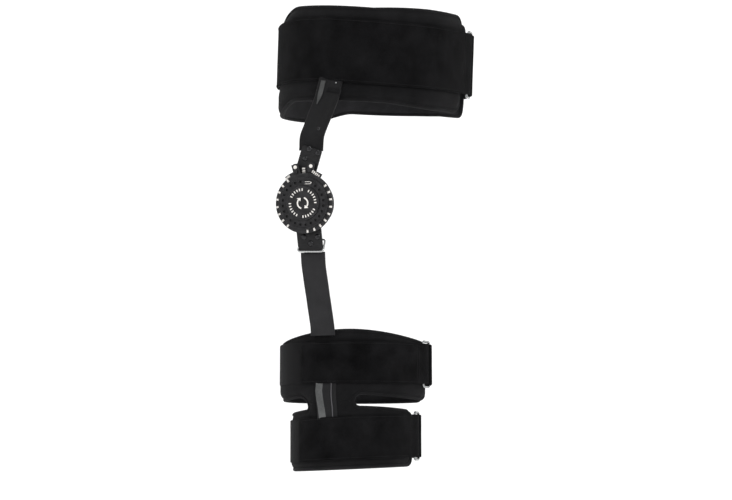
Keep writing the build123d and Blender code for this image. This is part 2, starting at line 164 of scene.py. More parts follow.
def make_lights():
    """Soft round lights and a plain white world."""
    for name, place, size, power in LIGHTS:
        data = bpy.data.lights.new(name, "AREA")
        data.shape = "DISK"
        data.size = size
        data.energy = power
        light = bpy.data.objects.new(name, data)
        light.location = place
        bpy.context.scene.collection.objects.link(light)
        look_at(light, AIM)
    world = bpy.data.worlds.new("studio")
    world.use_nodes = True
    sky = world.node_tree.nodes["Background"]
    sky.inputs["Color"].default_value = (1, 1, 1, 1)
    sky.inputs["Strength"].default_value = WORLD_LIGHT
    bpy.context.scene.world = world
    bpy.context.scene.view_settings.view_transform = "Standard"


def make_stage():
    """Wide pale floor that curves up into a pale backdrop."""
    bend = [(FLOOR_BACK - BEND_R + BEND_R * sin(radians(a)), BEND_R - BEND_R * cos(radians(a)))
            for a in range(0, 91, 6)]
    sweep = [(FLOOR_FRONT, 0.0), *bend, (FLOOR_BACK, WALL_TOP)]
    verts = [(x, y, FLOOR_Z + z) for y, z in sweep for x in (-FLOOR_HALF, FLOOR_HALF)]
    faces = [(2 * i, 2 * i + 1, 2 * i + 3, 2 * i + 2) for i in range(len(sweep) - 1)]
    mesh = bpy.data.meshes.new("stage_sweep")
    mesh.from_pydata(verts, [], faces)
    for face in mesh.polygons:
        face.use_smooth = True
    paper = Shader("stage_paper", roughness=0.9)
    paper.out.inputs["Base Color"].default_value = (0.86, 0.86, 0.86, 1)
    paper.out.inputs["Emission Color"].default_value = (1, 1, 1, 1)
    paper.out.inputs["Emission Strength"].default_value = 0.3
    mesh.materials.append(paper.mat)
    stage = bpy.data.objects.new("stage_sweep", mesh)
    stage.rotation_euler = (0, 0, VIEW_TURN)
    bpy.context.scene.collection.objects.link(stage)


# ------------------------------------------------------------------ materials

class Shader:
    """A Principled material, with short ways to add the nodes that these fabrics and plastics share."""

    def __init__(self, name, roughness, metallic=0.0, sheen=0.0, sheen_roughness=0.5, specular=0.5):
        self.mat = bpy.data.materials.new(name)
        self.mat.use_nodes = True
        self.nodes = self.mat.node_tree.nodes
        self.links = self.mat.node_tree.links
        self.out = self.nodes["Principled BSDF"]
        values = {"Roughness": roughness, "Metallic": metallic, "Sheen Weight": sheen,
                  "Sheen Roughness": sheen_roughness, "Specular IOR Level": specular}
        for socket, value in values.items():
            self.out.inputs[socket].default_value = value

    def node(self, kind, inputs=None, **settings):
        made = self.nodes.new(kind)
        for key, value in settings.items():
            setattr(made, key, value)
        for key, value in (inputs or {}).items():
            if isinstance(value, bpy.types.NodeSocket):
                self.links.new(value, made.inputs[key])
            else:
                made.inputs[key].default_value = value
        return made

    def object_coords(self):
        """Position on the object, in millimetres."""
        coords = self.node("ShaderNodeTexCoord").outputs["Object"]
        return self.node("ShaderNodeVectorMath", {0: coords, "Scale": 1000.0}, operation="SCALE").outputs[0]

    def noise(self, where, scale, detail=4.0, roughness=0.6):
        """Fractal noise with features about 1 / scale millimetres wide."""
        return self.node("ShaderNodeTexNoise", {"Vector": where, "Scale": scale, "Detail": detail,
                                                "Roughness": roughness}).outputs["Fac"]

    def stretched(self, where, factors):
        return self.node("ShaderNodeVectorMath", {0: where, 1: factors}, operation="MULTIPLY").outputs[0]

    def math(self, operation, a, b=0.0):
        return self.node("ShaderNodeMath", {0: a, 1: b}, operation=operation).outputs[0]

    def scaled(self, value, factor, base=0.0):
        """base + value * factor."""
        return self.math("ADD", base, self.math("MULTIPLY", value, factor))

    def blend(self, a, share_a, b, share_b):
        return self.math("ADD", self.math("MULTIPLY", a, share_a), self.math("MULTIPLY", b, share_b))

    def waves(self, coordinate, period):
        """Rounded ribs along one coordinate, from 0 to 1."""
        turns = self.math("MULTIPLY", coordinate, 2 * pi / period)
        return self.scaled(self.math("SINE", turns), 0.5, 0.5)

    def split(self, where):
        return self.node("ShaderNodeSeparateXYZ", {0: where}).outputs

    def ramp(self, value, low, dark, high, light):
        """Colour from dark at a low value to light at a high one."""
        ramp = self.node("ShaderNodeValToRGB", {"Fac": value})
        for element, place, colour in zip(ramp.color_ramp.elements, (low, high), (dark, light)):
            element.position = place
            element.color = (*colour, 1)
        return ramp.outputs["Color"]

    def bump(self, height, distance, strength, after=None):
        inputs = {"Height": height, "Distance": distance * MM, "Strength": strength}
        if after is not None:
            inputs["Normal"] = after
        return self.node("ShaderNodeBump", inputs).outputs["Normal"]

    def finish(self, colour, normal, roughness=None):
        self.links.new(colour, self.out.inputs["Base Color"])
        self.links.new(normal, self.out.inputs["Normal"])
        if roughness is not None:
            self.links.new(roughness, self.out.inputs["Roughness"])
        return self.mat


def pile_material(name, dark, light, sheen=0.014):
    """Fuzzy loop pile: matted tufts with brushed patches and a few paler fibres."""
    s = Shader(name, roughness=0.95, sheen=sheen, sheen_roughness=0.45, specular=0.03)
    where = s.object_coords()
    tufts = s.noise(where, 0.9, 6.0, 0.75)
    fibres = s.noise(s.stretched(where, (2.2, 2.2, 5.0)), 0.8, 3.0, 0.8)
    shade = s.blend(tufts, 0.45, s.noise(where, 0.028, 3.0), 0.55)
    normal = s.bump(fibres, 0.45, 0.6, s.bump(tufts, 1.1, 0.8))
    return s.finish(s.ramp(shade, 0.36, dark, 0.66, light), normal)


def knit_material(name, dark, light, pitch=1.1, sheen=0.025):
    """Fine brushed knit over foam, with a small even loop pattern and soft mottling."""
    s = Shader(name, roughness=0.9, sheen=sheen, sheen_roughness=0.5, specular=0.05)
    where = s.object_coords()
    x, y, z = s.split(where)
    loops = s.math("MULTIPLY", s.waves(s.math("ADD", x, y), pitch), s.waves(z, pitch * 0.8))
    fuzz = s.noise(where, 1.4, 5.0, 0.7)
    shade = s.blend(fuzz, 0.5, s.noise(where, 0.03, 3.0), 0.5)
    normal = s.bump(fuzz, 0.5, 0.6, s.bump(loops, 0.3, 0.6))
    return s.finish(s.ramp(shade, 0.36, dark, 0.66, light), normal)


def webbing_material(name, dark, light, rib, sheen=0.03, gloss=0.62, specular=0.12):
    """Woven webbing: warp yarns along the strip, crossed by weft, in a herringbone of two twills."""
    s = Shader(name, roughness=gloss, sheen=sheen, sheen_roughness=0.4, specular=specular)
    along, over, _ = s.split(s.node("ShaderNodeAttribute", attribute_name="cloth").outputs["Vector"])
    yarn = s.waves(over, rib * 0.55)
    weave = s.math("MULTIPLY", s.waves(s.math("ADD", along, s.math("PINGPONG", over, 5.0)), rib), yarn)
    where = s.object_coords()
    fuzz = s.noise(where, 1.2, 4.0, 0.7)
    shade = s.blend(weave, 0.35, s.math("ADD", fuzz, s.noise(where, 0.05, 3.0)), 0.33)
    normal = s.bump(yarn, 0.15, 0.5, s.bump(weave, 0.35, 0.7))
    return s.finish(s.ramp(shade, 0.2, dark, 0.75, light), s.bump(fuzz, 0.2, 0.5, normal))


def moulded_material(name, dark, light, rough=(0.38, 0.55)):
    """Moulded plastic with spark-eroded grain, rubbed smoother in places."""
    s = Shader(name, roughness=0.45, specular=0.22)
    where = s.object_coords()
    grit = s.noise(where, 2.4, 3.0, 0.6)
    rub = s.noise(where, 0.12, 4.0)
    roughness = s.scaled(s.math("ADD", rub, grit), (rough[1] - rough[0]) / 2, rough[0])
    return s.finish(s.ramp(rub, 0.35, dark, 0.7, light), s.bump(grit, 0.08, 0.6), roughness)


def coated_material(name, dark, light):
    """Black-coated steel plate, satin, with fine scuffs where it rubs."""
    s = Shader(name, roughness=0.4, specular=0.22)
    where = s.object_coords()
    scuff = s.noise(s.stretched(where, (0.3, 1.0, 2.0)), 0.5, 6.0, 0.7)
    normal = s.bump(s.noise(where, 1.6, 2.0), 0.12, 0.5)
    return s.finish(s.ramp(scuff, 0.45, dark, 0.75, light), normal, s.scaled(scuff, 0.25, 0.32))


def metal_material(name, dark, light, rough, streak=0.05):
    """Bare or nickel-plated metal with faint streaks and fine tarnish."""
    s = Shader(name, roughness=rough, metallic=1.0)
    where = s.object_coords()
    tarnish = s.noise(where, 0.3, 5.0, 0.7)
    normal = s.bump(s.noise(s.stretched(where, (1, 1, 14)), 0.5, 3.0), streak, 0.4)
    colour = s.ramp(tarnish, 0.3, dark, 0.7, light)
    return s.finish(colour, normal, s.scaled(tarnish, rough * 0.7, rough * 0.7))


def print_material(name, dark, light):
    """Pad-printed white, a little thin and worn."""
    s = Shader(name, roughness=0.55, specular=0.4)
    worn = s.noise(s.object_coords(), 1.1, 5.0, 0.7)
    return s.finish(s.ramp(worn, 0.32, dark, 0.5, light), s.bump(worn, 0.05, 0.5))


def thread_material(name, dark, light):
    """Twisted sewing thread."""
    s = Shader(name, roughness=0.7, sheen=0.03, specular=0.12)
    twist = s.noise(s.stretched(s.object_coords(), (3, 3, 9)), 1.0, 2.0)
    return s.finish(s.ramp(twist, 0.35, dark, 0.65, light), s.bump(twist, 0.15, 0.7))


def grey(value, blue=1.06):
    """A neutral linear grey with the slight coolness of dyed black nylon."""
    return value, value * 0.99, value * blue


FINISH = {
    "knit": knit_material("black_knit", grey(0.0050), grey(0.0115)),
    "lining": knit_material("lining_knit", grey(0.010), grey(0.024), pitch=1.6),
    "binding": knit_material("bound_edge", grey(0.0055), grey(0.013), pitch=0.9, sheen=0.04),
    "pile": pile_material("loop_pile", grey(0.0028), grey(0.0100)),
    "pile_cuff": pile_material("cuff_loop_pile", grey(0.0022), grey(0.0112)),
    "webbing": webbing_material("grey_webbing", grey(0.0060), grey(0.0135), 1.6, sheen=0.006,
                                specular=0.04),
    "sleeve": webbing_material("sleeve_webbing", grey(0.013), grey(0.034), 1.9, gloss=0.55),
    "belt_sleeve": webbing_material("belt_sleeve_webbing", grey(0.005), grey(0.014), 1.9, gloss=0.6),
    "pocket": webbing_material("pocket_webbing", grey(0.010), grey(0.022), 1.3),
    "hook": pile_material("grey_hook", (0.068, 0.070, 0.070), (0.155, 0.158, 0.158), sheen=0.04),
    "belt_hook": pile_material("belt_grey_hook", (0.040, 0.041, 0.041), (0.100, 0.102, 0.102), sheen=0.03),
    "wire": metal_material("nickel_wire", (0.34, 0.35, 0.35), (0.62, 0.63, 0.63), 0.18),
    # strap rings: the same nickel wire as above, with its colour painted darker as painted shade for the
    # dark fabric that the rings reflect
    "ring": metal_material("strap_ring_wire_painted_shade", (0.16, 0.165, 0.165), (0.36, 0.37, 0.37), 0.2),
    "rivet": metal_material("dark_rivet", (0.022, 0.022, 0.023), (0.052, 0.052, 0.054), 0.16),
    "stay": metal_material("stay_aluminium", (0.50, 0.51, 0.52), (0.68, 0.69, 0.70), 0.35, streak=0.1),
    "coated": coated_material("black_coating", grey(0.0065), grey(0.020)),
    "plastic": moulded_material("dial_plastic", grey(0.012), grey(0.030)),
    "cover": moulded_material("cover_plastic", grey(0.010), grey(0.026), rough=(0.30, 0.46)),
    "print": print_material("white_print", (0.45, 0.44, 0.42), (0.85, 0.82, 0.78)),
    "snap": metal_material("small_rivet", (0.2, 0.205, 0.205), (0.36, 0.37, 0.37), 0.25),
    "washer": moulded_material("washer_nylon", (0.42, 0.41, 0.38), (0.58, 0.57, 0.53)),
    "thread": thread_material("black_thread", grey(0.005), grey(0.013)),
    "pale_thread": thread_material("pale_thread", grey(0.05), grey(0.12)),
}


# ------------------------------------------------------------------ mesh helpers

def mesh_of(name, shape, place):
    """Mesh in metres from a millimetre shape."""
    verts, faces, *cloth = shape
    mesh = bpy.data.meshes.new(name)
    mesh.from_pydata([(place @ Vector(v)) * MM for v in verts], [], faces)
    for places in cloth:
        layer = mesh.attributes.new("cloth", "FLOAT_VECTOR", "POINT")
        layer.data.foreach_set("vector", np.array(places, float).ravel())
    bm = bmesh.new()
    bm.from_mesh(mesh)
    bmesh.ops.remove_doubles(bm, verts=bm.verts, dist=1e-6)
    bmesh.ops.recalc_face_normals(bm, faces=bm.faces)
    bm.to_mesh(mesh)
    bm.free()
    mesh.validate()
    return mesh


def add_piece(name, shape, finish, body, replaces=(), place=Matrix.Identity(4)):
    """Links a shape as one smooth-shaded piece of the object."""
    mesh = mesh_of(name, shape, place)
    obj = bpy.data.objects.new(name, mesh)
    bpy.context.scene.collection.objects.link(obj)
    mesh.materials.append(FINISH[finish])
    for face in mesh.polygons:
        face.use_smooth = True
    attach(obj, body)
    if replaces:
        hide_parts(*replaces)
    return obj


def join_shapes(parts):
    """One shape of several."""
    verts, faces, cloth = [], [], []
    for part_verts, part_faces, *part_cloth in parts:
        base = len(verts)
        verts.extend(part_verts)
        faces.extend(tuple(base + i for i in face) for face in part_faces)
        for places in part_cloth:
            cloth.extend(places)
    return (verts, faces, cloth) if cloth else (verts, faces)


def moved(shape, x, y):
    verts, faces = shape
    return [(u + x, v + y, w) for u, v, w in verts], faces


def ring_faces(a, b, count):
    """Faces between two rings of count vertices that start at a and at b."""
    return [(a + j, a + (j + 1) % count, b + (j + 1) % count, b + j) for j in range(count)]


def neighbours(places):
    """Each place of a closed outline between the ones before and after it, as vectors."""
    points = [Vector((*p, 0)) if len(p) == 2 else Vector(p) for p in places]
    return list(zip(points[-1:] + points[:-1], points, points[1:] + points[:1]))


def corner_curve(before, corner, after, reach, steps):
    """Points round a corner, from reach before it to reach after it."""
    start = corner + (before - corner).normalized() * reach
    end = corner + (after - corner).normalized() * reach
    shares = [k / steps for k in range(steps + 1)]
    return [start * (1 - t) ** 2 + corner * (2 * t * (1 - t)) + end * t ** 2 for t in shares]


def smooth_step(t):
    t = min(1.0, max(0.0, t))
    return t * t * (3 - 2 * t)


def along(places, x):
    """Value at x on a line through (x, value) places."""
    return float(np.interp(x, [p[0] for p in places], [p[1] for p in places]))


def wobble(x, y, z, scale, seed=0.0):
    """Smooth irregularity from -1 to 1, with features about scale millimetres wide."""
    return noise.noise(Vector((x / scale + seed, y / scale - seed, z / scale + seed * 0.5)))


def shell(front, back, cloth, columns, count):
    """Closed solid between two grids of points."""
    total = columns * count
    faces = []
    for i in range(columns - 1):
        for j in range(count - 1):
            a, b = i * count + j, (i + 1) * count + j
            faces.append((a, b, b + 1, a + 1))
            faces.append((total + a, total + a + 1, total + b + 1, total + b))
    rim = ([(i * count, (i + 1) * count) for i in range(columns - 1)]
           + [((columns - 1) * count + j, (columns - 1) * count + j + 1) for j in range(count - 1)]
           + [((i + 1) * count + count - 1, i * count + count - 1) for i in range(columns - 1)]
           + [(j + 1, j) for j in range(count - 1)])
    faces.extend((a, total + a, total + b, b) for a, b in rim)
    return front + back, faces, cloth + cloth


def swept(points, normals, section, closed=False):
    """Sweeps a (side, normal) section along points; section may be a function of the point's number."""
    count = len(points)
    verts = []
    for i, (p, n) in enumerate(zip(points, normals)):
        before = points[(i - 1) % count] if closed or i > 0 else p
        after = points[(i + 1) % count] if closed or i < count - 1 else p
        tangent = (after - before).normalized()
        normal = (n - tangent * tangent.dot(n)).normalized()
        side = tangent.cross(normal)
        shape = section(i) if callable(section) else section
        verts.extend(p + side * u + normal * v for u, v in shape)
    size = len(verts) // count
    faces = []
    for i in range(count if closed else count - 1):
        faces.extend(ring_faces(i * size, ((i + 1) % count) * size, size))
    if not closed:
        faces.append(tuple(reversed(range(size))))
        faces.append(tuple(range((count - 1) * size, count * size)))
    return verts, faces


def wire_tube(corners, bend, radius, sides=14):
    """Closed round-cornered loop of wire through its corners."""
    points = []
    for before, corner, after in neighbours(corners):
        points.extend(corner_curve(before, corner, after, bend, 8))
    middle = sum(points, Vector()) / len(points)
    flat = (points[8] - middle).cross(points[20] - middle).normalized()
    section = [(radius * cos(2 * pi * k / sides), radius * sin(2 * pi * k / sides)) for k in range(sides)]
    return swept(points, [flat] * len(points), section, closed=True)


def stitch(middle, ahead, up, length=2.3, radius=0.32, rings=5, sides=6):
    """One thread stitch: a short arched capsule that dips into the cloth at both ends."""
    side = ahead.cross(up).normalized()
    verts = []
    for i in range(rings):
        t = i / (rings - 1) * 2 - 1
        r = radius * sqrt(max(0.05, 1 - t * t * 0.9))
        centre = middle + ahead * (t * length / 2) + up * (radius * 0.8 * (1 - t * t) - radius * 0.5)
        for k in range(sides):
            a = 2 * pi * k / sides
            verts.append(centre + side * (r * cos(a)) + up * (r * sin(a)))
    faces = [tuple(range(sides - 1, -1, -1)), tuple((rings - 1) * sides + k for k in range(sides))]
    for i in range(rings - 1):
        faces.extend(ring_faces(i * sides, (i + 1) * sides, sides))
    return verts, faces


def stitch_line(points, normals, closed=True, pitch=3.4, lift=0.1):
    """Row of short thread stitches along a path."""
    parts = []
    travelled, wanted = 0.0, 0.0
    count = len(points)
    for i in range(count if closed else count - 1):
        p, q, up = points[i], points[(i + 1) % count], normals[i].normalized()
        gap = (q - p).length
        while wanted < travelled + gap:
            ahead = (q - p).normalized()
            parts.append(stitch(p + ahead * (wanted - travelled) + up * lift, ahead, up))
            wanted += pitch
        travelled += gap
    return join_shapes(parts)


# ------------------------------------------------------------------ padded panels

def on_oval(oval, angle, offset):
    cx, cy, a, b = oval
    t = radians(angle)
    return cx + (a + offset) * cos(t), cy + (b + offset) * sin(t)


class Panel:
    """Foam pad wrapped round an oval, with a bound edge and an outline in (angle, height) places."""

    def __init__(self, ends, edges, corner, radius, place):
        self.ends, self.edges, self.corner, self.radius, self.place = ends, edges, corner, radius, place

    def span(self, length):
        """Angle, in degrees, of a length along the pad."""
        return degrees(length / self.radius)

    def end_distance(self, angle):
        return radians(min(angle - self.ends[0], self.ends[1] - angle)) * self.radius

    def inside(self, angle, z):
        """Distance inward from the rounded outline."""
        side = self.end_distance(angle)
        best = side
        for edge in self.edge_distances(angle, z):
            if side < self.corner and edge < self.corner:
                edge = self.corner - hypot(self.corner - side, self.corner - edge)
            best = min(best, edge)
        return best

    def point(self, angle, z, offset):
        x, y = on_oval(self.oval_at(z), angle, offset)
        return Vector((x, y, z + self.shift(x, angle, z)))


class BeltPanel(Panel):
    """The waist belt's pad."""

    def __init__(self):
        super().__init__(BELT_ENDS, BELT_EDGES, BELT_CORNER, BELT[2] + FOAM + 8, BELT_PLACE)

    def oval_at(self, _z):
        return BELT

    def shift(self, x, _angle, z):
        """How the belt's edges rise and fall round the waist, with the dip at the wearer's back."""
        dip = -BACK_DROP * smooth_step((BACK_DIP[0] - x) / (BACK_DIP[0] - BACK_DIP[1]))
        top, low = along(TOP_LINE, x), along(LOW_LINE, x)
        share = (z - BELT_EDGES[0]) / (BELT_EDGES[1] - BELT_EDGES[0])
        return dip + low + (top - low) * share

    def edge_distances(self, _angle, z):
        """Distances to the lower and the upper edge."""
        return z - self.edges[0], self.edges[1] - z

    def heights(self, _angle, inset):
        """Lowest and highest z of the pad at an angle, at a distance inside its outline."""
        return self.edges[0] + inset, self.edges[1] - inset


class CuffPanel(Panel):
    """One band of the cuff; the slot between the bands closes along the web on the outer side."""

    def __init__(self, upper):
        self.upper = upper
        ends, edges, oval = ((UPPER_ENDS, UPPER_EDGES, UPPER_BAND) if upper else
                             (LOWER_ENDS, LOWER_EDGES, LOWER_BAND))
        super().__init__(ends, edges, CUFF_CORNER, oval[2] + FOAM / 2, THIGH)

    def oval_at(self, z):
        return cuff_oval(z)

    def shift(self, x, angle, z):
        """The cuff's edges stand highest on the outer side, and its lower band leans towards the back."""
        away = smooth_step(abs(angle - ARCH_MIDDLE) / ARCH_REACH)
        slot = SLOT_RISE - SLOT_ARCH * away
        if z >= SLOT_Z:
            share = (z - SLOT_Z) / (UPPER_EDGES[1] - SLOT_Z)
            return slot + (-TOP_ARCH * away - slot) * share
        share = (SLOT_Z - z) / (SLOT_Z - LOWER_EDGES[0])
        return slot * (1 - share) + LOWER_LEAN * x * smooth_step(share * 4)

    def slot_place(self, angle):
        """Distance from the centre of a slot's round end, positive out of the web and negative into it."""
        return -radians(min(angle - WEB_ANGLES[0], WEB_ANGLES[1] - angle)) * WEB_R

    def slot_half(self, angle, inset):
        """Half the slot's width at an angle, 0 in the web."""
        beyond = min(0.0, self.slot_place(angle))
        return sqrt(max(0.0, (SLOT_R + inset) ** 2 - beyond ** 2))

    def edge_distances(self, angle, z):
        """Distances to the slot and to the band's other edge."""
        slot = hypot(min(0.0, self.slot_place(angle)), z - SLOT_Z) - SLOT_R
        return slot, self.edges[1] - z if self.upper else z - self.edges[0]

    def heights(self, angle, inset):
        """Lowest and highest z of the band at an angle, at a distance inside its outline."""
        gap = self.slot_half(angle, inset)
        if self.upper:
            return SLOT_Z + gap, self.edges[1] - inset
        return self.edges[0] + inset, SLOT_Z - gap


def cuff_oval(z):
    """Cuff oval at a height, blended between the two bands' ovals across the slot."""
    share = smooth_step((z - LOWER_EDGES[1] + 8) / (UPPER_EDGES[0] - LOWER_EDGES[1] + 16))
    return tuple(u + (v - u) * share for u, v in zip(LOWER_BAND, UPPER_BAND))


def pad_offsets(depth, bulge):
    """Skin-side and outer offsets of the pad at a depth inside its outline."""
    rise = 1 - (1 - min(1.0, max(0.0, (depth - EDGE_WIDTH * 0.6) / PUFF_WIDTH))) ** 2.2
    middle, half, thin = (FOAM + LINING) / 2, (FOAM - LINING) / 2, EDGE_THIN / 2
    reach = thin + (half - thin) * rise
    return middle - reach, middle + reach + bulge * smooth_step((depth - 4) / 10)


def pad_columns(panel, inset, step, extra=()):
    """Angles along a panel, closer together in its round ends and near the extra angles."""
    start = panel.ends[0] + panel.span(inset)
    end = panel.ends[1] - panel.span(inset)
    corner = panel.span(panel.corner - inset)
    turn = [corner * (1 - cos(radians(q))) for q in range(0, 90, 10)]
    straight = end - start - 2 * corner
    count = round(straight / step)
    middle = [start + corner + straight * i / count for i in range(count + 1)]
    angles = [start + t for t in turn] + middle + [end - t for t in reversed(turn)]
    kept = [a for a in angles if all(abs(a - e) > step * 0.4 for e in extra)]
    return sorted(kept + list(extra))


def slot_columns(inset):
    """Angles where the slots' round ends need points."""
    reach = degrees((SLOT_R + inset) / WEB_R)
    turns = [reach * cos(radians(q)) for q in range(0, 91, 15)]
    return [WEB_ANGLES[0] + t for t in turns] + [WEB_ANGLES[1] - t for t in turns]


def column_edges(panel, angle, inset):
    """Lowest and highest z at an angle, with the round corners taken off."""
    low, high = panel.heights(angle, inset)
    side = panel.end_distance(angle) - inset
    radius = panel.corner - inset
    if side < radius:
        drop = radius - sqrt(max(0.0, radius ** 2 - (radius - side) ** 2))
        low, high = low + drop, high - drop
    return low, high


def row_shares(height, step=4.0):
    """Shares of a height at which a pad's rows lie, closer together near both edges."""
    plain = height - 2 * ROW_DEPTHS[-1]
    count = max(2, round(plain / step))
    inner = [ROW_DEPTHS[-1] + plain * i / count for i in range(1, count)]
    return [r / height for r in [*ROW_DEPTHS, *inner, *(height - d for d in reversed(ROW_DEPTHS))]]


def pad_solid(panel, angles, inset, bulge, skin):
    """Closed puffy solid for a panel. skin=True gives only the thin lining on the wearer's side."""
    rows = row_shares(panel.edges[1] - panel.edges[0])
    outer, inner, cloth = [], [], []
    for angle in angles:
        low, high = column_edges(panel, angle, inset)
        for share in rows:
            z = low + (high - low) * share
            depth = panel.inside(angle, z)
            near, far = pad_offsets(depth, bulge(panel.point(angle, z, 0).z))
            if skin:
                far = near
                near -= LINING * (0.25 + 0.75 * smooth_step((depth - inset) / 3))
            else:
                lump = wobble(angle * 1.5, z, 7, 26) * 0.45 + wobble(angle * 1.5, z, 3, 9) * 0.12
                far += lump * smooth_step(depth / 12)
            outer.append(panel.point(angle, z, far))
            inner.append(panel.point(angle, z, near))
            cloth.append((radians(angle) * panel.radius, z, 0))
    return shell(outer, inner, cloth, len(angles), len(rows))


def belt_bulge(z):
    """Foam that swells beyond the belt strap's edges."""
    return SWELL * smooth_step(max(BELT_STRAP[0] - z, z - BELT_STRAP[1]) / 6) - 0.1


def cuff_bulge(z):
    """Foam that swells above the upper strap, below the lower one, and between it and z 0."""
    if LOWER_STRAP[1] < z < 0:
        return SWELL - 0.1
    beyond = z - UPPER_STRAP[1] if z >= 0 else LOWER_STRAP[0] - z
    return SWELL * smooth_step(beyond / 6) - 0.1


def build_pad(prefix, body, panels, columns, bulge):
    """Foam pad over its panels, and the lining on the wearer's side; columns gives their angles."""
    for skin in (False, True):
        depth = PAD_INSET + (LINING_INSET if skin else 0.0)
        shape = join_shapes([pad_solid(p, columns(p, depth), depth, bulge, skin) for p in panels])
        place = panels[0].place
        if skin:
            add_piece(f"{prefix}_skin_lining", shape, "lining", body,
                      [f"{prefix}_lining"], place)
        else:
            pad = add_piece(f"{prefix}_foam_pad", shape, "knit", body,
                            [f"{prefix}_pad"], place)


# ------------------------------------------------------------------ bound edges

def end_turns(panel, inset, end):
    """(panel, angle, z) places round both corners of a panel's last end (1) or first end (-1)."""
    radius = panel.corner - inset
    centre = panel.ends[end > 0] - end * panel.span(panel.corner)
    low, high = panel.edges[0] + panel.corner, panel.edges[1] - panel.corner
    corners = ((high, 90), (low, 0)) if end > 0 else ((low, -90), (high, 180))
    return [(panel, centre + panel.span(radius * cos(radians(a))), z + radius * sin(radians(a)))
            for z, first in corners for a in range(first, first - 91, -15)]


def slot_turn(inset, centre, first):
    """Places round the round end of one slot, from one band to the other."""
    gap = SLOT_R + inset
    reach = degrees(gap / WEB_R)
    bands = CuffPanel(False), CuffPanel(True)
    places = []
    for i in range(9):
        t = radians(first + 22.5 * i)
        z = SLOT_Z + gap * sin(t)
        places.append((bands[z > SLOT_Z], centre + reach * cos(t), z))
    return places


def belt_outline(inset):
    """Places round the belt's pad."""
    return end_turns(BeltPanel(), inset, 1) + end_turns(BeltPanel(), inset, -1)


def cuff_outline(inset):
    """Places round both bands and their web."""
    upper, lower = CuffPanel(True), CuffPanel(False)
    return (end_turns(upper, inset, 1) + slot_turn(inset, WEB_ANGLES[1], 90)
            + end_turns(lower, inset, 1) + end_turns(lower, inset, -1)
            + slot_turn(inset, WEB_ANGLES[0], -90) + end_turns(upper, inset, -1))


def spaced_on(places, offset, step=3.0):
    """Evenly spaced points and outward normals along closed (panel, angle, z) places."""
    points, normals = [], []
    for (panel, a0, z0), (_, a1, z1) in zip(places, places[1:] + places[:1]):
        length = hypot(radians(a1 - a0) * panel.radius, z1 - z0)
        parts = max(1, round(length / step))
        for k in range(parts):
            angle, z = a0 + (a1 - a0) * k / parts, z0 + (z1 - z0) * k / parts
            p = panel.point(angle, z, offset)
            points.append(p)
            normals.append(panel.point(angle, z, offset + 5) - p)
    return points, normals


def edge_section(i):
    """Rolled edge: a soft oval roll, a little uneven along its length."""
    wide, thick = EDGE_WIDTH * 0.56, 3.3 * (1 + 0.06 * wobble(i * 3.0, 0, 0, 9))
    return [(wide * cos(radians(a)), thick * sin(radians(a))) for a in range(0, 360, 30)]


def build_edge(prefix, body, outline, place):
    """Rolled edge round a pad, and the thread stitches beside it."""
    points, normals = spaced_on(outline(EDGE_WIDTH * 0.55), (FOAM + LINING) / 2)
    roll = swept(points, normals, edge_section, closed=True)
    add_piece(f"{prefix}_bound_edge", roll, "binding", body,
              [f"{prefix}_edge_binding"], place)
    stitches = stitch_line(*spaced_on(outline(EDGE_WIDTH + 0.9), FOAM - 2.7))
    add_piece(f"{prefix}_edge_stitching", stitches, "thread", body, (), place)


# ------------------------------------------------------------------ straps

STRAPS = {
    "belt": dict(oval=BELT, heights=BELT_STRAP, bars=BELT_BARS, reach=3.2, loop_end=-172, inner_end=-4,
                 web=(-172, -6), far=(84, 129), place=BELT_PLACE, body=WAIST, pile="pile", rise=STRAP_LINE),
    "cuff_upper": dict(oval=UPPER_BAND, heights=UPPER_STRAP, bars=UPPER_BARS, reach=5.0, loop_end=-115.5,
                       inner_end=-16.5, web=(-190, -18.5), far=(97, 147), place=THIGH, body=THIGH_BODY,
                       pile="pile_cuff", rise=LEVEL),
    "cuff_lower": dict(oval=LOWER_BAND, heights=LOWER_STRAP, bars=LOWER_BARS, reach=4.0, loop_end=-128,
                       inner_end=-10, web=(-190, -12), far=(105, 155), place=LOWER_PLACE, body=THIGH_BODY,
                       pile="pile_cuff", rise=LEVEL),
}


def plan_route(oval, start, end, offset_at, parts):
    """Plan points round an oval; offset_at gives their offset at an angle."""
    angles = [start + (end - start) * i / parts for i in range(parts + 1)]
    return [Vector((*on_oval(oval, a, offset_at(a)), 0)) for a in angles]


def plan_normals(points):
    """Left-hand normals of a plan path."""
    ends = zip([points[0], *points[:-1]], [*points[1:], points[-1]])
    ways = [(after - before).normalized() for before, after in ends]
    return [Vector((way.y, -way.x, 0)) for way in ways]


def fold_swell(angle, bar):
    """How far a strap's outer layer stands off near its fold."""
    return FOLD_BULGE * (1 - smooth_step(abs(angle - bar) / 10.0))


def folded_route(oval, bar, outer_end, inner_end, reach=0.0, step=2.0):
    """Plan route of a strap that comes along outside, turns round the ring's bar and goes back inside.

    reach is how far, in degrees, the loose fold stands past the bar.
    """
    way = 1 if bar > outer_end else -1
    bar += reach * way
    middle = (LOOP_IN + LOOP_OUT) / 2
    route = plan_route(oval, outer_end, bar, lambda a: middle + fold_swell(a, bar),
                       max(6, round(abs(bar - outer_end) / step)))
    centre = Vector((*on_oval(oval, bar, BAR_OFFSET), 0))
    out = (Vector((*on_oval(oval, bar, BAR_OFFSET + 5), 0)) - centre).normalized()
    ahead = Vector((-sin(radians(bar)) * way, cos(radians(bar)) * way, 0))
    for i in range(1, 9):
        a = radians(20 * i)
        route.append(centre + out * (FOLD_R * cos(a)) + ahead * (FOLD_R * sin(a)))
    return route + plan_route(oval, bar, inner_end, lambda a: (WEB_IN + WEB_OUT) / 2,
                              max(3, round(abs(bar - inner_end) / step)))


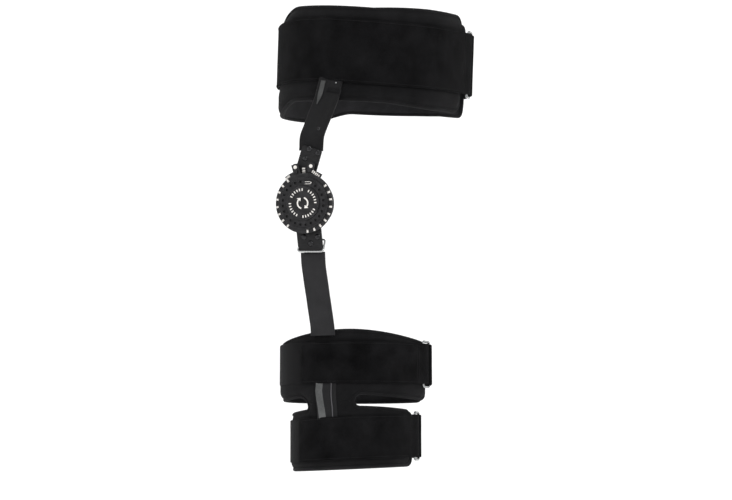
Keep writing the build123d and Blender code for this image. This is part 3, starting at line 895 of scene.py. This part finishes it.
def ribbon(route, heights, rise, seed, wave, fuzz, rows=15):
    """Closed flat strap that stands on edge along a plan route, with thin soft edges."""
    low, span = heights[0], heights[1] - heights[0]
    shares = [0, 0.4, 1.0, 2.2, 4.5]
    inner = [4.5 + (span - 9) * i / rows for i in range(1, rows)]
    ladder = shares + inner + [span - s for s in reversed(shares)]
    front, back, cloth = [], [], []
    travelled, before = 0.0, route[0]
    for p, n in zip(route, plan_normals(route)):
        travelled += (p - before).length
        before = p
        lift = wave * wobble(travelled, low, seed, 34, seed)
        for z in ladder:
            edge = min(z, span - z)
            half = STRAP_T / 2 * (0.35 + 0.65 * smooth_step(edge))
            pucker = 0.12 * wobble(travelled, z, seed, 12, seed)
            pucker += 0.18 * wobble(travelled, z, seed, 40, seed)
            rough = fuzz * wobble(travelled, z, seed, 1.7, seed)
            stray = lift * (1 if edge < 3 else 0.3)
            centre = Vector((p.x, p.y, low + z + stray + along(rise, p.x))) + n * pucker
            front.append(centre + n * (half + rough))
            back.append(centre - n * half)
            cloth.append((travelled, z, 0))
    return shell(front, back, cloth, len(route), len(ladder))


def strap_stitches(s):
    """Two rows of thread across the strap's sewn end, and one along each of its edges."""
    parts = []
    oval, (low, high) = s["oval"], s["heights"]
    bar = s["bars"][0]

    def stitched(angle, z, offset):
        x, y = on_oval(oval, float(angle), offset)
        return Vector((x, y, z + along(s["rise"], x))), Vector((x - oval[0], y - oval[1], 0))

    for back in (6.5, 9.0):
        angle = bar - back * 100 / (oval[2] + 14)
        offset = LOOP_OUT + fold_swell(angle, bar + s["reach"]) + 0.05
        row = [stitched(angle, z, offset) for z in np.linspace(low + 3, high - 3, 24)]
        parts.append(stitch_line(*zip(*row), closed=False))
    for z in (low + 2.4, high - 2.4):
        row = [stitched(a, z, LOOP_OUT + 0.05) for a in np.linspace(s["loop_end"] + 1.5, bar - 14, 90)]
        parts.append(stitch_line(*zip(*row), closed=False))
    return join_shapes(parts)


def build_straps():
    """Webbing, folded straps, wire rings and stitches of the belt and of both thigh bands."""
    web_middle = (WEB_IN + WEB_OUT) / 2
    gap = 1.3 + RING_WIRE
    for number, (name, s) in enumerate(STRAPS.items()):
        oval, place, body, (low, high) = s["oval"], s["place"], s["body"], s["heights"]
        start, end = s["web"]
        web = plan_route(oval, start, end, lambda a: web_middle, max(3, round(abs(end - start) / 2.0)))
        near = folded_route(oval, s["bars"][0], s["loop_end"], s["inner_end"], s["reach"])
        far = folded_route(oval, s["bars"][1], *s["far"])
        for route, piece, finish, slot, node, seed, fuzz, wave in (
                (web, "woven_webbing", "webbing", "grey_webbing", "webbing", 1.0, 0.0, 0.35),
                (near, "pile_strap", s["pile"], "loop_fabric", "loop_strap", 4.0, 0.12, 0.5),
                (far, "far_strap", s["pile"], "loop_fabric", "closure_strap", 7.0, 0.12, 0.5)):
            shape = ribbon(route, s["heights"], s["rise"], seed + number, wave, fuzz)
            add_piece(f"{name}_{piece}", shape, finish, body, [f"{name}_{node}"], place)
        first, second = (on_oval(oval, bar, BAR_OFFSET) for bar in s["bars"])
        bottom, top = low - gap, high + gap
        corners = [(*first, bottom), (*second, bottom), (*second, top), (*first, top)]
        ring = wire_tube(corners, RING_BEND, RING_WIRE)
        # the rings take the darker ring finish, whose colour is painted shade for the dark fabric they
        # reflect
        add_piece(f"{name}_wire_ring", ring, "ring", body, [f"{name}_ring"], place)
        stitches = strap_stitches(s)
        add_piece(f"{name}_strap_stitching", stitches, "thread", body, (), place)


# ------------------------------------------------------------------ bars and the strips on the cuff's web

def rounded_line(points, window, step=1.0):
    """Function z -> value through (value, z) points, with its corners rounded over a window of z."""
    zs = np.array([p[1] for p in points][::-1], float)
    values = np.array([p[0] for p in points][::-1], float)
    grid = np.arange(zs[0] - 60, zs[-1] + 60, step)
    slope_low = (values[1] - values[0]) / (zs[1] - zs[0])
    slope_high = (values[-1] - values[-2]) / (zs[-1] - zs[-2])
    raw = np.interp(grid, zs, values)
    raw = np.where(grid < zs[0], values[0] + (grid - zs[0]) * slope_low, raw)
    raw = np.where(grid > zs[-1], values[-1] + (grid - zs[-1]) * slope_high, raw)
    half = int(window / 2 / step)
    kernel = np.hanning(2 * half + 3)[1:-1]
    smooth = np.convolve(np.pad(raw, half, mode="edge"), kernel / kernel.sum(), mode="valid")
    return lambda z: float(np.interp(z, grid, smooth))


UPPER_LINE = (rounded_line(UPPER_CENTRE, 24), rounded_line(UPPER_PROFILE, 14))
LOWER_LINE = (rounded_line(LOWER_CENTRE, 24), rounded_line(LOWER_PROFILE, 20))


def bar_route(line, high, low, lift=0.0, shift=0.0, step=2.0):
    """Points and outward normals down a bar's middle, shifted outward and sideways."""
    centre_x, centre_y = line
    count = max(2, round((high - low) / step))
    points, normals = [], []
    for i in range(count + 1):
        z = high + (low - high) * i / count
        slope = (centre_y(z + 1) - centre_y(z - 1)) / 2
        normal = Vector((0, -1, slope)).normalized()
        points.append(Vector((centre_x(z) + shift, centre_y(z), z)) + normal * lift)
        normals.append(normal)
    return points, normals


def strip_section(half, thickness, groove):
    """Cross-section of a woven strip: round edges, and stitched grooves beside them."""
    r = thickness / 2
    top = []
    for u in np.linspace(-half + r, half - r, 21):
        dip = groove * exp(-((abs(u) - (half - 2.4)) / 0.7) ** 2)
        top.append((float(u), r - dip))
    bottom = [(u, -r) for u, _ in reversed(top)]
    right = [(half - r + r * cos(radians(a)), r * sin(radians(a))) for a in (60, 25, -25, -60)]
    left = [(-half + r - r * cos(radians(a)), -r * sin(radians(a))) for a in (60, 25, -25, -60)]
    return top + right + bottom + left


def woven_strip(points, normals, half, section, shape):
    """Strip swept along points, with the cloth coordinates that its weave needs."""
    cloth, length, before = [], 0.0, points[0]
    for p in points:
        length += (p - before).length
        before = p
        cloth.extend((length, u + half, 0) for u, _ in section)
    return (*swept(points, normals, shape), cloth)


def bar_strip(name, high, low, half, thickness, finish, node,
              lift=0.0, shift=0.0, groove=0.0, waves=0.0, taper=0.0):
    """Strip along a bar; waves ripple its face and taper narrows its lower half."""
    line, body = (UPPER_LINE, WAIST) if high > DIAL.z else (LOWER_LINE, THIGH_BODY)
    points, normals = bar_route(line, high, low, lift, shift)
    section = strip_section(half, thickness, groove)

    def shape(i):
        z = points[i].z
        ripple = waves * wobble(z, 0, half, 11, half)
        narrow = 1 - 0.012 * (1 + wobble(z, 3, half, 16, half))
        narrow -= taper * smooth_step(2 * (high - z) / (high - low) - 1)
        return [(u * narrow, v + (ripple if v > 0 else 0)) for u, v in section]

    add_piece(name, woven_strip(points, normals, half, section, shape), finish, body, [node])


def build_bars():
    """Sleeves, metal stays, keeper webbing and hook strip of both bars."""
    bar_strip("upper_bar_sleeve", -32, -131, 17.0, 5.0, "belt_sleeve", "upper_sleeve",
              groove=0.5, waves=0.35)
    bar_strip("upper_bar_stay", -48, -141, 12.0, 2.4, "stay", "upper_stay")
    bar_strip("belt_keeper_webbing", -47.5, -54, 10.4, 6.6, "binding", "belt_keeper_loop",
              shift=7.2, waves=0.3)
    bar_strip("belt_hook_strip", -38, -70, 3.3, 1.0, "belt_hook", "belt_grip_strip",
              lift=3.6, shift=-9.0, taper=0.8)
    bar_strip("lower_bar_sleeve", -264, -374, 17.0, 5.2, "sleeve", "lower_sleeve",
              groove=0.6, waves=0.3)
    bar_strip("lower_bar_stay", -241, -372, 12.6, 2.4, "stay", "lower_stay")


def on_cuff(x, z, lift):
    """Point on the cuff's outer side at a world x and height z, lift mm off the pad."""
    found = Vector((x, -160, z))
    for _ in range(4):
        local = THIGH.inverted() @ Vector((x, found.y, z))
        oval = cuff_oval(local.z)
        reach = oval[3] + FOAM + lift
        y = oval[1] - sqrt(reach ** 2 - (local.x - oval[0]) ** 2)
        found = THIGH @ Vector((local.x, y, local.z))
    return found


def web_strip(name, line, half, thickness, lift, finish, node, groove=0.0):
    """Strip that lies on the cuff's outer side along a line of (x, z) places."""
    depths = [(-z, x) for x, z in line]
    points, normals = [], []
    for z in np.arange(line[0][1], line[-1][1] - 0.1, -1.5):
        x = along(depths, -z)
        p = on_cuff(x, float(z), lift)
        points.append(p)
        normals.append(on_cuff(x, float(z), lift + 5) - p)
    section = strip_section(half, thickness, groove)
    strip = woven_strip(points, normals, half, section, section)
    add_piece(name, strip, finish, THIGH_BODY, [node])


def build_web():
    """Bar pocket across the web, with its grey hook strip and a thin pale piping."""
    web_strip("cuff_web_pocket", [(-15, -430), (-14.5, -462), (-13, -484)],
              14.0, 1.6, 1.5, "pocket", "cuff_bar_pocket", groove=0.3)
    web_strip("cuff_web_hook_strip", [(-23.4, -430), (-24.6, -447), (-22.8, -462), (-19.6, -485)],
              5.0, 1.2, 2.9, "hook", "cuff_grip_strip")
    web_strip("cuff_web_piping", [(-7.2, -434), (-7.0, -455), (-5.0, -486)],
              0.7, 0.9, 2.8, "pale_thread", "cuff_pocket_piping")


# ------------------------------------------------------------------ hinge

def polar(radius, angle):
    """Place on the dial, clockwise from straight up."""
    return radius * sin(radians(angle)), radius * cos(radians(angle))


def turned(x, y, centre, turn):
    """Place at (x, y) from a centre, turned clockwise about it."""
    c, s = cos(radians(turn)), sin(radians(turn))
    return centre[0] + x * c + y * s, centre[1] - x * s + y * c


def lathe(profile, segments=180):
    """Solid of revolution about the hinge axis from a closed (radius, height) outline."""
    verts, faces = [], []
    count = len(profile)
    for i in range(segments):
        t = 2 * pi * i / segments
        verts.extend((r * cos(t), r * sin(t), z) for r, z in profile)
        faces.extend(ring_faces(((i + 1) % segments) * count, i * count, count))
    return verts, faces


def disk(radius, low, high, ease, segments=180):
    """Round plate on the hinge axis with eased edges."""
    return lathe(eased([(AXIS_R, low), (radius, low), (radius, high), (AXIS_R, high)], ease), segments)


def eased(profile, radius):
    """Closed outline with each corner rounded by radius, where both its sides are long enough."""
    out = []
    for before, corner, after in neighbours(profile):
        room = min(radius, (before - corner).length * 0.45, (after - corner).length * 0.45)
        out.extend((p.x, p.y) for p in corner_curve(before, corner, after, room, 4))
    return out


def slab(outline, low, high, ease):
    """Plate with an eased upper edge from a closed outline of (x, y) places."""
    count = len(outline)
    middle = Vector((sum(p[0] for p in outline) / count, sum(p[1] for p in outline) / count, 0))
    verts, faces = [], []
    levels = [(0.0, low + ease), (0.0, high - ease), (ease * 0.3, high - ease * 0.3), (ease, high)]
    for inset, z in levels:
        for before, here, after in neighbours(outline):
            side = (after - before).normalized()
            inward = Vector((-side.y, side.x, 0))
            if inward.dot(middle - here) < 0:
                inward = -inward
            p = here + inward * inset
            verts.append((p.x, p.y, z))
    for level in range(len(levels) - 1):
        faces.extend(ring_faces(level * count, (level + 1) * count, count))
    base = len(verts)
    verts.extend((x, y, low) for x, y in outline)
    faces.extend(ring_faces(base, 0, count))
    faces.append(tuple(range(base, base + count)))
    faces.append(tuple(reversed(range(base - count, base))))
    return verts, faces


def rounded_box(width, height, corner, centre=(0, 0), turn=0.0):
    """Outline of a rounded rectangle, turned clockwise about its centre."""
    places = []
    for sx, sy, first in ((1, 1, 0), (-1, 1, 90), (-1, -1, 180), (1, -1, 270)):
        for a in range(first, first + 91, 18):
            x = sx * (width / 2 - corner) + corner * cos(radians(a))
            y = sy * (height / 2 - corner) + corner * sin(radians(a))
            places.append(turned(x, y, centre, turn))
    return places


def sector(r_in, r_out, start, end):
    """Outline of a part of a ring."""
    count = max(2, round((end - start) / 2.0))
    angles = [start + (end - start) * i / count for i in range(count + 1)]
    return [polar(r_out, a) for a in angles] + [polar(r_in, a) for a in reversed(angles)]


def drilled(obj, radius, places, low, high, sides=20):
    """Cuts round holes right through a piece, at places in the hinge's frame."""
    turns = [2 * pi * k / sides for k in range(sides)]
    drill = ([(radius * cos(t), radius * sin(t), z) for z in (low, high) for t in turns],
             ring_faces(0, sides, sides) + [tuple(reversed(range(sides))), tuple(range(sides, 2 * sides))])
    mesh = mesh_of("drills", join_shapes([moved(drill, *p) for p in places]), HINGE)
    drills = bpy.data.objects.new("drills", mesh)
    bpy.context.scene.collection.objects.link(drills)
    cut = obj.modifiers.new("holes", "BOOLEAN")
    cut.operation = "DIFFERENCE"
    cut.solver = "EXACT"
    cut.object = drills
    bpy.context.view_layer.update()
    made = bpy.data.meshes.new_from_object(obj.evaluated_get(bpy.context.evaluated_depsgraph_get()))
    obj.modifiers.clear()
    obj.data = made
    bpy.data.objects.remove(drills)
    split_edges(obj)


def split_edges(obj, angle=35):
    """Smooth shading that stops at edges sharper than an angle."""
    bm = bmesh.new()
    bm.from_mesh(obj.data)
    for edge in bm.edges:
        edge.smooth = not (len(edge.link_faces) == 2 and edge.calc_face_angle() > radians(angle))
    bm.to_mesh(obj.data)
    bm.free()


def hinge_piece(name, shapes, finish, body, replaces=()):
    """Visible piece of the hinge, made from shapes in its frame."""
    obj = add_piece(name, join_shapes(shapes), finish, body, replaces, HINGE)
    split_edges(obj)
    return obj


def printed(name, shapes, body=WAIST, replaces=()):
    """White print on the hinge."""
    hinge_piece(name, shapes, "print", body, replaces)


def build_dial():
    """Scale ring, holed cover, raised boss and their white printing."""
    ring = eased([(PIN_R, SCALE_BACK), (SCALE_R, SCALE_BACK),
                  (SCALE_R, SCALE_FACE), (PIN_R, SCALE_FACE)], 0.6)
    hinge_piece("dial_scale_ring", [lathe(ring)], "plastic", WAIST, ["scale_ring"])
    ticks = [slab(sector(34.9, 38.8, a - 1.9, a + 1.9), SCALE_FACE - 0.1, SCALE_FACE + 0.3, 0.1)
             for a in TICK_ANGLES]
    printed("dial_scale_ticks", ticks, replaces=["scale_ticks"])
    rim, skin = COVER_FACE + 0.8, COVER_FACE - 0.5
    cover = eased([(PIN_R, SCALE_FACE), (COVER_R, SCALE_FACE), (COVER_R, rim), (32.0, rim),
                   (31.4, COVER_FACE), (AXIS_R, COVER_FACE), (AXIS_R, skin), (PIN_R, skin)], 0.4)
    cover = hinge_piece("dial_holed_cover", [lathe(cover)], "cover", WAIST, ["dial_cover"])
    holes = [polar(HOLE_CIRCLE, 360 / HOLE_COUNT * (i + 0.5)) for i in range(HOLE_COUNT)]
    drilled(cover, HOLE_R, holes, COVER_FACE - 2.4, COVER_FACE + 3)
    boss = eased([(AXIS_R, COVER_FACE), (BOSS_R, COVER_FACE), (BOSS_R, BOSS_FACE - 0.2), (21.6, BOSS_FACE),
                  (20.6, BOSS_FACE), (20.0, BOSS_FACE - 0.5), (AXIS_R, BOSS_FACE - 0.5)], 0.3)
    hinge_piece("dial_raised_boss", [lathe(boss)], "cover", WAIST, ["dial_boss"])
    outlines = [sector(16.0, 19.2, a - 2.3, a + 2.3) for start in (-62, 28, 118, 208)
                for a in range(start, start + 61, 12)]
    for turn in (0, 180):
        outlines.append(sector(6.2, 8.0, turn + 15, turn + 130))
        outlines.append([polar(10.3, turn + 128), polar(7.1, turn + 160), polar(3.9, turn + 128)])
    printed("dial_face_marks", [slab(o, BOSS_FACE - 0.55, BOSS_FACE - 0.35, 0.05) for o in outlines])
    tab_face = COVER_FACE + 1.0
    tab = slab(rounded_box(14.6, 5.2, 2.0, (5.5, 26.4)), COVER_FACE, tab_face, 0.4)
    hinge_piece("dial_pointer_tab", [tab], "plastic", WAIST, ["pointer_tab"])
    outline = [(3.0, 25.0), (9.5, 25.0), (12.0, 26.4), (9.5, 27.8), (3.0, 27.8)]
    printed("dial_pointer_mark", [line_mark(a, b, 0.3, tab_face) for a, b in zip(outline, outline[1:])])


def line_mark(start, end, half, z):
    """Thin printed line between two places."""
    a, b = Vector((*start, 0)), Vector((*end, 0))
    side = (b - a).normalized().cross(Vector((0, 0, 1))) * half
    return slab([(p.x, p.y) for p in (a - side, b - side, b + side, a + side)], z - 0.05, z + 0.12, 0.03)


def build_labels():
    """White label strips on the levers' shoulders and between their tabs, and the levers' dots."""
    strips = (
        ("extension_stop", "extension_label", (12.8, 4.6), polar(41.0, 20.5), 36, EXTENSION_FACE),
        ("flexion_stop", "flexion_label", (8.6, 4.2), polar(41.2, -36), -38, FLEXION_FACE),
        (WAIST, "scale_label", (5.0, 9.4), polar(42.6, -5.5), -4, ARM_FACE),
    )
    for body, name, (width, height), centre, turn, face in strips:
        bars = []
        longways = width > height
        count = 5 if longways else 3
        for i in range(count):
            share = (i + 0.5) / count - 0.5
            x, y = (share * width, 0.0) if longways else (0.0, share * height)
            size = (width / count * 0.7, height * 0.8) if longways else (width * 0.85, height / count * 0.72)
            outline = rounded_box(*size, 0.5, turned(x, y, centre, turn), turn)
            bars.append(slab(outline, face - 0.05, face + 0.2, 0.05))
        printed(name, bars, body)
    for name, tab, face in (("flexion", FLEXION_TAB, FLEXION_FACE),
                            ("extension", EXTENSION_TAB, EXTENSION_FACE)):
        dot = moved(disk(2.4, face - 0.05, face + 0.4, 0.2, 40), *polar(DOT_CIRCLE, tab))
        printed(f"{name}_white_dot", [dot], f"{name}_stop", [f"{name}_stop_dot"])


def build_rivets():
    """Domed rivets on both arm plates, and the small one on the belt's keeper."""
    for name, body, places, face in (("upper", WAIST, UPPER_RIVETS, ARM_FACE),
                                     ("lower", THIGH_BODY, LOWER_RIVETS, LOWER_ARM_FACE)):
        profile = [(AXIS_R, face - 4.4), (1.9, face - 4.4), (1.9, face), (3.9, face), (3.8, face + 0.35),
                   (3.1, face + 0.95), (2.2, face + 1.38), (1.2, face + 1.55), (AXIS_R, face + 1.6)]
        rivets = [moved(lathe(profile, 32), *place) for place in places]
        hinge_piece(f"{name}_domed_rivets", rivets, "rivet", body, [f"{name}_arm_rivets"])
    points, normals = bar_route(UPPER_LINE, -41, -42, lift=3.1, shift=9.0)
    turn = Vector((0, 0, 1)).rotation_difference(normals[0]).to_matrix().to_4x4()
    dome = lathe([(AXIS_R, -1.5), (1.2, -1.5), (1.2, 0.0), (0.9, 0.55), (0.4, 0.8), (AXIS_R, 0.85)], 24)
    add_piece("keeper_rivet", dome, "snap", WAIST, (), Matrix.Translation(points[0]) @ turn)


def build_bar_rings():
    """Wire keepers round the lower bar: one below the dial, one at the cuff's top edge."""
    loops = (
        ("bar_keeper_ring", (-43.6, -8.6), (-195.6, -263.0), (-186.4, -247.5), 1.3, "lower_keeper_ring"),
        ("cuff_bar_loop", (-34.0, -7.5), (-161.5, -370.5), (-152.5, -379.0), 1.0, "cuff_wire_loop"),
    )
    for name, (x_low, x_high), front, back, radius, node in loops:
        corners = [(x_low, *front), (x_high, *front), (x_high, *back), (x_low, *back)]
        add_piece(name, wire_tube(corners, 3.5, radius), "wire", THIGH_BODY, [node])


def finish_cad():
    """Materials for the CAD nodes whose shape is already right."""
    slot_finish = {
        "pad_foam": "knit", "lining_fabric": "lining", "binding": "binding", "grey_webbing": "webbing",
        "loop_fabric": "pile", "bar_webbing": "pocket", "grip_strip": "hook", "ring_wire": "wire",
        "stay_metal": "stay", "arm_metal": "coated", "rivet_metal": "rivet", "washer_plastic": "washer",
        "dial_plastic": "plastic", "white_print": "print",
    }
    slots = {row["node"]: row["material_slot"] for row in frame["record"]["subparts"]}
    for name, obj in frame["nodes"].items():
        obj.data.materials.clear()
        obj.data.materials.append(FINISH[slot_finish[slots[name]]])


make_camera()
make_lights()
make_stage()
finish_cad()
build_pad("belt", WAIST, [BeltPanel()], lambda panel, depth: pad_columns(panel, PAD_INSET, 1.9), belt_bulge)
build_edge("belt", WAIST, belt_outline, BELT_PLACE)
build_straps()
build_pad("cuff", THIGH_BODY, [CuffPanel(False), CuffPanel(True)],
          lambda panel, depth: pad_columns(panel, depth, 2.4, slot_columns(depth)), cuff_bulge)
build_edge("cuff", THIGH_BODY, cuff_outline, THIGH)
build_bars()
build_web()
build_dial()
build_labels()
build_rivets()
build_bar_rings()
